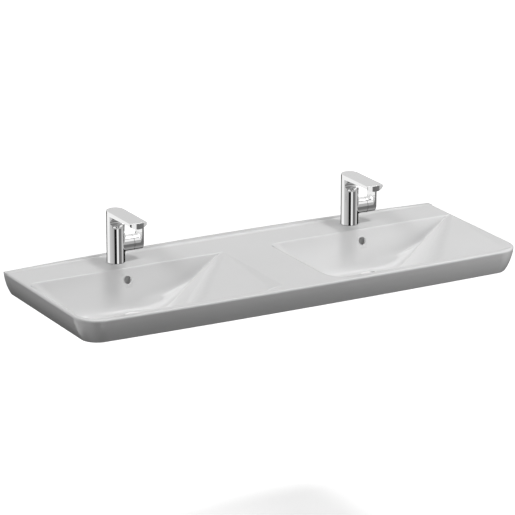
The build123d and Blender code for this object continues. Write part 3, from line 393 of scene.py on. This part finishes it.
# Wastes. Each bowl drains through a chromed brass body clamped through the bowl by a backnut, with a
# rubber ring above and below the clay, a plastic slip ring, and a domed plug on a push latch.
CHROME = (0.87, 0.87, 0.87, 1.0)
BRASS = (0.72, 0.53, 0.27, 1.0)
BLACK_RUBBER = (0.022, 0.022, 0.024, 1.0)
SLIP_PLASTIC = (0.78, 0.78, 0.74, 1.0)
TAIL_PITCH = 0.00231

plated, given, result = new_group("plating", (("Scale", "NodeSocketFloat", 60.0), ("Wave", "NodeSocketFloat", 0.1)),
                                  (("Roughness", "NodeSocketFloat"), ("Normal", "NodeSocketVector")))
spot = put(plated, "ShaderNodeTexCoord").outputs["Object"]
haze = put(plated, "ShaderNodeTexNoise", {"Vector": spot, "Scale": given["Scale"], "Detail": 5.0})
streak_place = put(plated, "ShaderNodeMapping", {"Vector": spot, "Scale": (3.0, 3.0, 0.25)})
streaks = put(plated, "ShaderNodeTexNoise", {"Vector": streak_place.outputs[0], "Scale": 260.0, "Detail": 3.0})
both = put(plated, "ShaderNodeMath", {0: haze.outputs["Fac"], 1: streaks.outputs["Fac"]}, operation="MULTIPLY")
rough = put(plated, "ShaderNodeMapRange", {0: both.outputs[0], 1: 0.12, 2: 0.45, 3: 0.015, 4: 0.06})
wave = put(plated, "ShaderNodeTexNoise", {"Vector": spot, "Scale": 90.0, "Detail": 1.0})
wavy = put(plated, "ShaderNodeBump", {"Height": wave.outputs["Fac"], "Strength": given["Wave"], "Distance": 0.00006})
plated.links.new(rough.outputs[0], result["Roughness"])
plated.links.new(wavy.outputs[0], result["Normal"])

moulded, given, result = new_group("moulded_skin", (
    ("Scale", "NodeSocketFloat", 900.0), ("Depth", "NodeSocketFloat", 0.4), ("Low", "NodeSocketFloat", 0.5),
    ("High", "NodeSocketFloat", 0.7), ("Colour", "NodeSocketColor", (0.5, 0.5, 0.5, 1.0)),
    ("Worn", "NodeSocketColor", (0.6, 0.6, 0.6, 1.0))),
    (("Colour", "NodeSocketColor"), ("Roughness", "NodeSocketFloat"), ("Normal", "NodeSocketVector")))
spot = put(moulded, "ShaderNodeTexCoord").outputs["Object"]
fine = put(moulded, "ShaderNodeTexNoise", {"Vector": spot, "Scale": given["Scale"], "Detail": 3.0})
broad = put(moulded, "ShaderNodeTexNoise", {"Vector": spot, "Scale": 70.0, "Detail": 2.0})
skin = put(moulded, "ShaderNodeMix", {
    0: broad.outputs["Fac"], 6: given["Colour"], 7: given["Worn"]}, data_type="RGBA")
rough = put(moulded, "ShaderNodeMapRange", {0: broad.outputs["Fac"], 1: 0.3, 2: 0.7, 3: given["Low"], 4: given["High"]})
dimple = put(moulded, "ShaderNodeBump", {"Height": fine.outputs["Fac"], "Strength": given["Depth"], "Distance": 0.0001})
moulded.links.new(skin.outputs[2], result["Colour"])
moulded.links.new(rough.outputs[0], result["Roughness"])
moulded.links.new(dimple.outputs[0], result["Normal"])


def moulded_material(name, colour, worn, low, high, depth):
    """A matt moulded material, rubber or plastic, with a fine skin."""
    material, tree, shader = new_material(name)
    skin = use_group(tree, moulded, Depth=depth, Low=low, High=high, Colour=colour, Worn=worn)
    tree.links.new(skin["Colour"], shader.inputs["Base Color"])
    tree.links.new(skin["Roughness"], shader.inputs["Roughness"])
    tree.links.new(skin["Normal"], shader.inputs["Normal"])
    return material
chrome, tree, shader = new_material("chrome")
plate = use_group(tree, plated, Wave=0.08)
shader.inputs["Base Color"].default_value = CHROME
shader.inputs["Metallic"].default_value = 1.0
tree.links.new(plate["Roughness"], shader.inputs["Roughness"])
tree.links.new(plate["Normal"], shader.inputs["Normal"])
rubber = moulded_material("black_rubber", BLACK_RUBBER, (0.035, 0.035, 0.037, 1.0), 0.55, 0.75, 0.5)
slip = moulded_material("slip_plastic", SLIP_PLASTIC, (0.72, 0.71, 0.66, 1.0), 0.35, 0.5, 0.2)
for side in SIDES:
    finish_with(chrome, f"{side}_waste_backnut", f"{side}_plug")
    finish_with(rubber, f"{side}_waste_top_seal", f"{side}_waste_lower_seal", f"{side}_plug_seal")
    finish_with(slip, f"{side}_waste_slip_washer", f"{side}_push_barrel")


def set_upright(node):
    """Keeps a curve's normals upright, so that a profile doesn't roll as it runs along the curve."""
    if "Mode" in node.inputs:
        node.inputs["Mode"].default_value = "Z Up"
    else:
        node.mode = "Z_UP"


thread = bpy.data.node_groups.new("stud_thread", "GeometryNodeTree")
sizes = {}
for name, kind, value in (
        ("Pitch", "NodeSocketFloat", 0.00125), ("Length", "NodeSocketFloat", 0.07), ("Radius", "NodeSocketFloat", 0.004),
        ("Depth", "NodeSocketFloat", 0.00065), ("Steps", "NodeSocketInt", 24),
        ("Cored", "NodeSocketBool", True)):
    sizes[name] = thread.interface.new_socket(name, in_out="INPUT", socket_type=kind)
    sizes[name].default_value = value
sizes["Metal"] = thread.interface.new_socket("Metal", in_out="INPUT", socket_type="NodeSocketMaterial")
thread.interface.new_socket("Mesh", in_out="OUTPUT", socket_type="NodeSocketGeometry")
given = thread.nodes.new("NodeGroupInput").outputs
turns = put(thread, "ShaderNodeMath", {0: given["Length"], 1: given["Pitch"]}, operation="DIVIDE")
turns = put(thread, "ShaderNodeMath", {0: turns.outputs[0], 1: 1.0}, operation="SUBTRACT")
core = put(thread, "ShaderNodeMath", {0: given["Radius"], 1: given["Depth"]}, operation="SUBTRACT")
third = put(thread, "ShaderNodeMath", {0: given["Depth"], 1: 1 / 3, 2: core.outputs[0]}, operation="MULTIPLY_ADD")
climb = put(thread, "ShaderNodeMath", {0: turns.outputs[0], 1: given["Pitch"]}, operation="MULTIPLY")
spiral = put(thread, "GeometryNodeCurveSpiral", {
    "Resolution": given["Steps"], "Rotations": turns.outputs[0], "Start Radius": third.outputs[0],
    "End Radius": third.outputs[0], "Height": climb.outputs[0]})
upright = put(thread, "GeometryNodeSetCurveNormal", {"Curve": spiral.outputs[0]})
set_upright(upright)
flat = put(thread, "GeometryNodeCurvePrimitiveCircle", {"Resolution": 3, "Radius": 1.0})
high = put(thread, "ShaderNodeMath", {0: given["Depth"], 1: 2 / 3}, operation="MULTIPLY")
wide = put(thread, "ShaderNodeMath", {0: given["Pitch"], 1: 0.86 / math.sqrt(3)}, operation="MULTIPLY")
stretch = put(thread, "ShaderNodeCombineXYZ", {0: high.outputs[0], 1: wide.outputs[0], 2: 1.0})
flank = put(thread, "GeometryNodeTransform", {
    "Geometry": flat.outputs[0], "Rotation": (0.0, 0.0, math.pi), "Scale": stretch.outputs[0]})
ridge = put(thread, "GeometryNodeCurveToMesh", {
    "Curve": upright.outputs[0], "Profile Curve": flank.outputs[0], "Fill Caps": True})
first = put(thread, "ShaderNodeMath", {0: given["Pitch"], 1: 0.5}, operation="MULTIPLY")
first = put(thread, "ShaderNodeCombineXYZ", {2: first.outputs[0]})
ridge = put(thread, "GeometryNodeTransform", {"Geometry": ridge.outputs[0], "Translation": first.outputs[0]})
rod = put(thread, "GeometryNodeMeshCylinder", {
    "Vertices": 48, "Radius": core.outputs[0], "Depth": given["Length"]})
half = put(thread, "ShaderNodeMath", {0: given["Length"], 1: 0.5}, operation="MULTIPLY")
half = put(thread, "ShaderNodeCombineXYZ", {2: half.outputs[0]})
rod = put(thread, "GeometryNodeTransform", {"Geometry": rod.outputs[0], "Translation": half.outputs[0]})
rod = put(thread, "GeometryNodeSwitch", {"Switch": given["Cored"], "True": rod.outputs[0]}, input_type="GEOMETRY")
joined = thread.nodes.new("GeometryNodeJoinGeometry")
thread.links.new(rod.outputs[0], joined.inputs[0])
thread.links.new(ridge.outputs[0], joined.inputs[0])
solid = put(thread, "GeometryNodeRealizeInstances", {"Geometry": joined.outputs[0]})
clad = put(thread, "GeometryNodeSetMaterial", {"Geometry": solid.outputs[0], "Material": given["Metal"]})
put(thread, "NodeGroupOutput", {"Mesh": clad.outputs[0]})


def cut_thread(name, foot, metal, **values):
    """A thread of the given sizes as a plain mesh, standing upright on its foot."""
    blank = bpy.data.objects.new(name, bpy.data.meshes.new(name))
    bpy.context.scene.collection.objects.link(blank)
    maker = blank.modifiers.new("thread", "NODES")
    maker.node_group = thread
    maker[sizes["Metal"].identifier] = metal
    for label, value in values.items():
        maker[sizes[label].identifier] = value
    bpy.context.view_layer.update()
    mesh = bpy.data.meshes.new_from_object(blank.evaluated_get(bpy.context.evaluated_depsgraph_get()))
    blank.modifiers.clear()
    bpy.data.objects.remove(blank)
    while mesh.materials and mesh.materials[0] is None:
        mesh.materials.pop(index=0)
    mesh.transform(Matrix.Translation(foot))
    return mesh


TAIL_PLACES = {"left": (-0.376, -0.220), "right": (0.336, -0.220)}
TAIL_LOW, TAIL_HIGH = -0.149, -0.1145
TAIL_RADIUS, TAIL_ROOT = 0.0209, 0.0197
for side, (tail_x, tail_y) in TAIL_PLACES.items():
    shell = bmesh.new()
    shell.from_mesh(nodes[f"{side}_waste_body"].data)
    bmesh.ops.remove_doubles(shell, verts=shell.verts, dist=1e-6)
    for level in (TAIL_HIGH + 0.0005, TAIL_HIGH, TAIL_LOW + 0.0008):
        bmesh.ops.bisect_plane(
            shell, geom=shell.verts[:] + shell.edges[:] + shell.faces[:], dist=1e-7,
            plane_co=(0, 0, level), plane_no=(0, 0, 1))
    for vertex in shell.verts:
        offset = Vector((vertex.co.x - tail_x, vertex.co.y - tail_y))
        if offset.length > TAIL_RADIUS - 0.0003 and vertex.co.z < TAIL_HIGH + 0.0001:
            offset *= TAIL_ROOT / offset.length
            vertex.co.x, vertex.co.y = tail_x + offset.x, tail_y + offset.y
    turned = cut_thread("tail_thread", (tail_x, tail_y, TAIL_LOW), chrome, Pitch=TAIL_PITCH,
                        Length=TAIL_HIGH - TAIL_LOW, Radius=TAIL_RADIUS, Depth=0.0013, Steps=72, Cored=False)
    shell.from_mesh(turned)
    body_mesh = bpy.data.meshes.new(f"{side}_threaded_waste")
    shell.to_mesh(body_mesh)
    body_mesh.materials.append(chrome)
    for face in body_mesh.polygons:
        face.material_index = 0
    body_mesh.shade_smooth()
    body_mesh.set_sharp_from_angle(angle=math.radians(32))
    waste = bpy.data.objects.new(f"{side}_threaded_waste", body_mesh)
    bpy.context.scene.collection.objects.link(waste)
    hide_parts(f"{side}_waste_body")
    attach(waste, "basin_and_fixings")


# Taps. Column, flat spout and side housing are one brass casting, ground, polished and chromed. It
# stands on a rubber ring and is pulled down by a stud, two horseshoe washers and a nut.
brass, tree, shader = new_material("turned_brass")
plate = use_group(tree, plated, Wave=0.3)
shader.inputs["Base Color"].default_value = BRASS
shader.inputs["Metallic"].default_value = 1.0
dull = put(tree, "ShaderNodeMapRange", {0: plate["Roughness"], 1: 0.015, 2: 0.06, 3: 0.2, 4: 0.4})
tree.links.new(dull.outputs[0], shader.inputs["Roughness"])
tree.links.new(plate["Normal"], shader.inputs["Normal"])
steel, tree, shader = new_material("rolled_steel")
plate = use_group(tree, plated, Wave=0.4)
shader.inputs["Base Color"].default_value = (0.55, 0.56, 0.57, 1.0)
shader.inputs["Metallic"].default_value = 1.0
dull = put(tree, "ShaderNodeMapRange", {0: plate["Roughness"], 1: 0.015, 2: 0.06, 3: 0.22, 4: 0.38})
tree.links.new(dull.outputs[0], shader.inputs["Roughness"])
tree.links.new(plate["Normal"], shader.inputs["Normal"])
STUD_PLACES = {"left": (-0.354, -0.055, -0.062), "right": (0.358, -0.055, -0.062)}
for side, foot in STUD_PLACES.items():
    cut = cut_thread(f"{side}_threaded_stud", foot, steel, Radius=0.00398)
    cut.shade_smooth()
    cut.set_sharp_from_angle(angle=math.radians(32))
    stud = bpy.data.objects.new(f"{side}_threaded_stud", cut)
    bpy.context.scene.collection.objects.link(stud)
    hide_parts(f"{side}_mounting_stud")
    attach(stud, "basin_and_fixings")
for side in SIDES:
    finish_with(chrome, f"{side}_tap_body")
    finish_with(rubber, f"{side}_tap_base_seal", f"{side}_rubber_horseshoe")
    finish_with(steel, f"{side}_metal_horseshoe")
    finish_with(brass, f"{side}_stud_nut")


# Valves and handles. A ceramic-disc cartridge sits in the housing under a slotted brass nut. A turret
# carries the chromed handle, whose carrier tilts on a pin and pulls the spindle.
engineering = moulded_material("grey_plastic", (0.10, 0.10, 0.11, 1.0), (0.13, 0.13, 0.14, 1.0), 0.4, 0.55, 0.3)
for side in SIDES:
    finish_with(engineering, f"{side}_cartridge", f"{side}_lever_carrier")
    finish_with(brass, f"{side}_cartridge_nut", f"{side}_turret")
    finish_with(steel, f"{side}_valve_spindle", f"{side}_tilt_pin", f"{side}_handle_screw")
    finish_with(chrome, f"{side}_handle", f"{side}_screw_plug")


# Aerators. A chromed ring screws into the spout's end and holds a white plastic insert with rows of
# fine holes, which breaks the stream up with air.
insert_plastic = moulded_material("insert_plastic", (0.80, 0.80, 0.78, 1.0), (0.74, 0.74, 0.71, 1.0), 0.35, 0.5, 0.2)
for side in SIDES:
    finish_with(chrome, f"{side}_aerator_housing")
    finish_with(insert_plastic, f"{side}_aerator_insert")


# The object's box after the finishing.
low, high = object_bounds()
